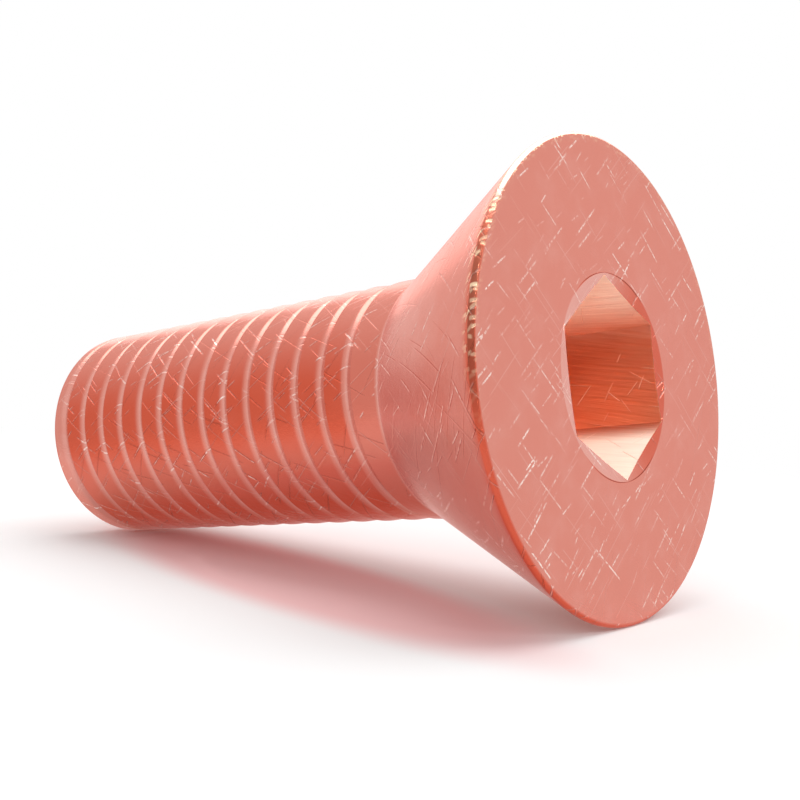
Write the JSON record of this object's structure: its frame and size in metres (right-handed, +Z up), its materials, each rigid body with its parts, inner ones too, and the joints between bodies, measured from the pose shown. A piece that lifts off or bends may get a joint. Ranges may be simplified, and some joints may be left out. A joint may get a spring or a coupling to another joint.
{
  "type": "countersunk socket head machine screw",
  "caption": "Countersunk machine screw with a sixty degree cone, a hexagon socket and a coarse right-hand thread, in scratched copper.",
  "frame": {"origin": "centre of the bounding box's underside, on the floor that the lying screw touches with its head's rim and the full ring at its tip", "axes": "+X along the line of contact from the tip towards the head, +Z up from the floor; the screw's own axis rises 8.585 degrees from +X towards +Z"},
  "size_m": [0.0544, 0.033, 0.0326],
  "materials": {
    "copper": "scratched, softly polished copper"
  },
  "bodies": {
    "root": {"screw": "copper"}
  },
  "joints": []
}
